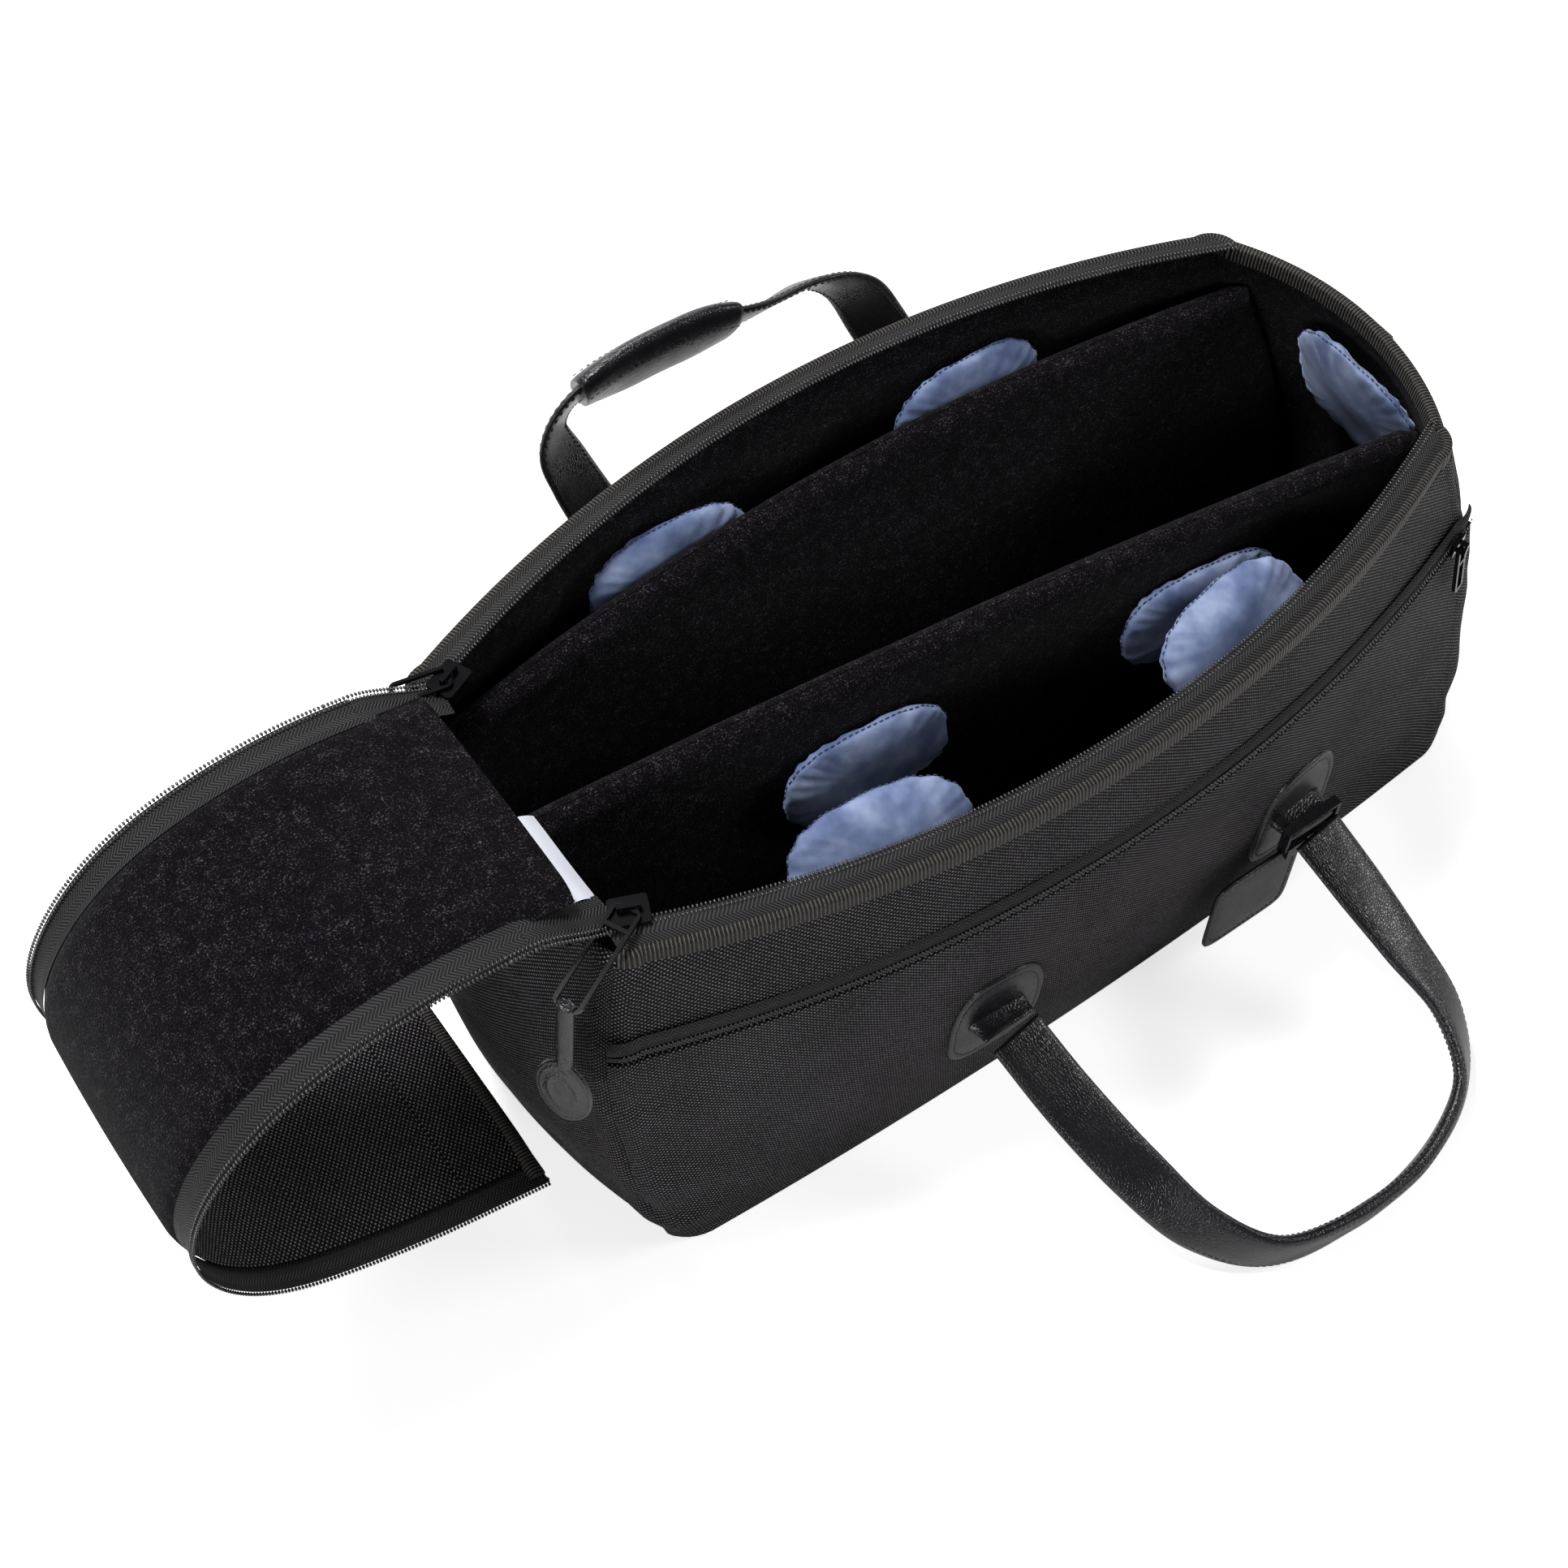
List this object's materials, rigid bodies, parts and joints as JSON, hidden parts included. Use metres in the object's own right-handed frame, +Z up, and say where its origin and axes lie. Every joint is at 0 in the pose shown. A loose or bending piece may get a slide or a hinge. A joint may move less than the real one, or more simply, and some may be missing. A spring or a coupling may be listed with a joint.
{
  "type": "padded instrument gig bag",
  "caption": "Padded fabric instrument bag with a zipped lid rolled back, plush dividers, pads, handles and a luggage tag",
  "frame": {"origin": "centre of the base on the floor, at the middle of the bag's body between its base corners", "axes": "+X along the bag away from the lid's hinge, +Y to the rear, +Z up"},
  "size_m": [0.824, 0.5392, 0.3207],
  "materials": {
    "outer_fabric": "coarse woven polyester, near black",
    "foam": "closed-cell foam inside the walls",
    "plush": "short black plush",
    "board": "stiff base board",
    "ribbed_binding": "ribbed grosgrain tape",
    "zip_tape": "fine woven zip tape",
    "zip_teeth": "black coil teeth",
    "blue_velvet": "steel-blue velvet",
    "leather": "grained black leather",
    "black_metal": "gloss black lacquered metal",
    "ring_metal": "plated wire",
    "webbing": "black webbing",
    "label_satin": "blank white satin"
  },
  "bodies": {
    "bag": {"outer_front_panel": "outer_fabric", "outer_right_panel": "outer_fabric", "outer_rear_panel": "outer_fabric", "outer_left_panel": "outer_fabric", "outer_base_panel": "outer_fabric", "front_foam": "foam", "right_foam": "foam", "rear_foam": "foam", "left_foam": "foam", "front_lining": "plush", "right_lining": "plush", "rear_lining": "plush", "left_lining": "plush", "base_board": "board", "floor_lining": "plush", "rim_binding": "ribbed_binding", "rim_zip_tapes": "zip_tape", "rim_zip_teeth": "zip_teeth", "pocket_panel": "outer_fabric", "pocket_zip_tape": "zip_tape", "pocket_zip_teeth": "zip_teeth", "rear_divider": "plush", "front_divider": "plush", "rear_divider_pads": "blue_velvet", "front_divider_pads": "blue_velvet", "front_wall_pads": "blue_velvet", "end_wall_pad": "blue_velvet", "lid_hinge_web": "outer_fabric", "front_handle_patches": "leather", "rear_handle_patches": "leather", "tag_loop": "leather", "strap_ring_tabs": "webbing", "care_label": "label_satin"},
    "lid_1": {"lid_panel_1": "plush", "lid_zip_1": "zip_tape"},
    "lid_2": {"lid_panel_2": "plush", "lid_zip_2": "zip_tape"},
    "lid_3": {"lid_panel_3": "plush", "lid_zip_3": "zip_tape"},
    "lid_4": {"lid_panel_4": "plush", "lid_zip_4": "zip_tape"},
    "lid_5": {"lid_panel_5": "plush", "lid_zip_5": "zip_tape"},
    "lid_6": {"lid_panel_6": "plush", "lid_zip_6": "zip_tape"},
    "front_slider": {"front_zip_slider": "black_metal"},
    "front_pull": {"front_zip_pull": "black_metal"},
    "fob": {"pull_fob": "leather"},
    "rear_slider": {"rear_zip_slider": "black_metal"},
    "rear_pull": {"rear_zip_pull": "black_metal"},
    "pocket_runner": {"pocket_slider": "black_metal"},
    "pocket_tab": {"pocket_pull": "black_metal"},
    "front_strap": {"front_handle": "leather"},
    "rear_strap": {"rear_handle": "leather", "rear_handle_grip": "leather"},
    "tag": {"luggage_tag": "leather"},
    "left_ring": {"left_strap_ring": "ring_metal"},
    "right_ring": {"right_strap_ring": "ring_metal"}
  },
  "joints": [
    {"name": "lid_fold", "type": "hinge", "parent": "bag", "child": "lid_1", "pos_m": [-0.284, 0, 0.29], "axis": [0, 1, 0], "range_deg": [0, 168]},
    {"name": "lid_roll_2", "type": "hinge", "parent": "lid_1", "child": "lid_2", "pos_m": [-0.36812, 0, 0.30788], "axis": [0, 1, 0], "range_deg": [0, 24.01]},
    {"name": "lid_roll_3", "type": "hinge", "parent": "lid_2", "child": "lid_3", "pos_m": [-0.45224, 0, 0.29], "axis": [0, 1, 0], "range_deg": [0, 41.01]},
    {"name": "lid_roll_4", "type": "hinge", "parent": "lid_3", "child": "lid_4", "pos_m": [-0.504, 0, 0.22132], "axis": [0, 1, 0], "range_deg": [0, 51.01]},
    {"name": "lid_roll_5", "type": "hinge", "parent": "lid_4", "child": "lid_5", "pos_m": [-0.48319, 0, 0.13787], "axis": [0, 1, 0], "range_deg": [0, 45.01]},
    {"name": "lid_roll_6", "type": "hinge", "parent": "lid_5", "child": "lid_6", "pos_m": [-0.40948, 0, 0.09358], "axis": [0, 1, 0], "range_deg": [0, 13.01]},
    {"name": "front_zip_run", "type": "hinge", "parent": "bag", "child": "front_slider", "pos_m": [-0.02, 0.49028, 0.2745], "axis": [0, 0, 1], "range_deg": [0, 43.2]},
    {"name": "rear_zip_run", "type": "hinge", "parent": "bag", "child": "rear_slider", "pos_m": [-0.02, -0.49028, 0.2745], "axis": [0, 0, -1], "range_deg": [0, 43.2]},
    {"name": "front_pull_lift", "type": "hinge", "parent": "front_slider", "child": "front_pull", "pos_m": [-0.26296, -0.07805, 0.2802], "axis": [-0.4472, 0.8944, 0], "range_deg": [0, 60]},
    {"name": "fob_swing", "type": "hinge", "parent": "front_pull", "child": "fob", "pos_m": [-0.31285, -0.103, 0.27895], "axis": [-0.4472, 0.8944, 0], "range_deg": [0, 40]},
    {"name": "rear_pull_lift", "type": "hinge", "parent": "rear_slider", "child": "rear_pull", "pos_m": [-0.26296, 0.07805, 0.2802], "axis": [0.2425, 0.9701, 0], "range_deg": [0, 60]},
    {"name": "pocket_zip_run", "type": "hinge", "parent": "bag", "child": "pocket_runner", "pos_m": [-0.0165, 0.65094, 0.204], "axis": [0, 0, -1], "range_deg": [0, 36.9]},
    {"name": "pocket_tab_lift", "type": "hinge", "parent": "pocket_runner", "child": "pocket_tab", "pos_m": [0.24295, -0.11503, 0.204], "axis": [-0.9471, -0.3208, 0], "range_deg": [0, 80]},
    {"name": "front_handle_lift", "type": "hinge", "parent": "bag", "child": "front_strap", "pos_m": [0.016, -0.16425, 0.092], "axis": [-1, 0, 0], "range_deg": [0, 100]},
    {"name": "rear_handle_fold", "type": "hinge", "parent": "bag", "child": "rear_strap", "pos_m": [0.016, 0.16085, 0.092], "axis": [-1, 0, 0], "range_deg": [0, 95]},
    {"name": "tag_swing", "type": "hinge", "parent": "bag", "child": "tag", "pos_m": [0.1121, -0.15845, 0.0787], "axis": [-1, 0, 0], "range_deg": [0, 50]},
    {"name": "left_ring_swing", "type": "hinge", "parent": "bag", "child": "left_ring", "pos_m": [-0.3088, 0, 0.22753], "axis": [0, 1, 0], "range_deg": [0, 60]},
    {"name": "right_ring_swing", "type": "hinge", "parent": "bag", "child": "right_ring", "pos_m": [0.28956, 0, 0.22784], "axis": [0, -1, 0], "range_deg": [0, 60]}
  ],
  "couplings": [
    {"joint": "lid_roll_2", "follows": "lid_fold", "ratio": 0.14286},
    {"joint": "lid_roll_3", "follows": "lid_fold", "ratio": 0.24405},
    {"joint": "lid_roll_4", "follows": "lid_fold", "ratio": 0.30357},
    {"joint": "lid_roll_5", "follows": "lid_fold", "ratio": 0.26786},
    {"joint": "lid_roll_6", "follows": "lid_fold", "ratio": 0.077381}
  ]
}
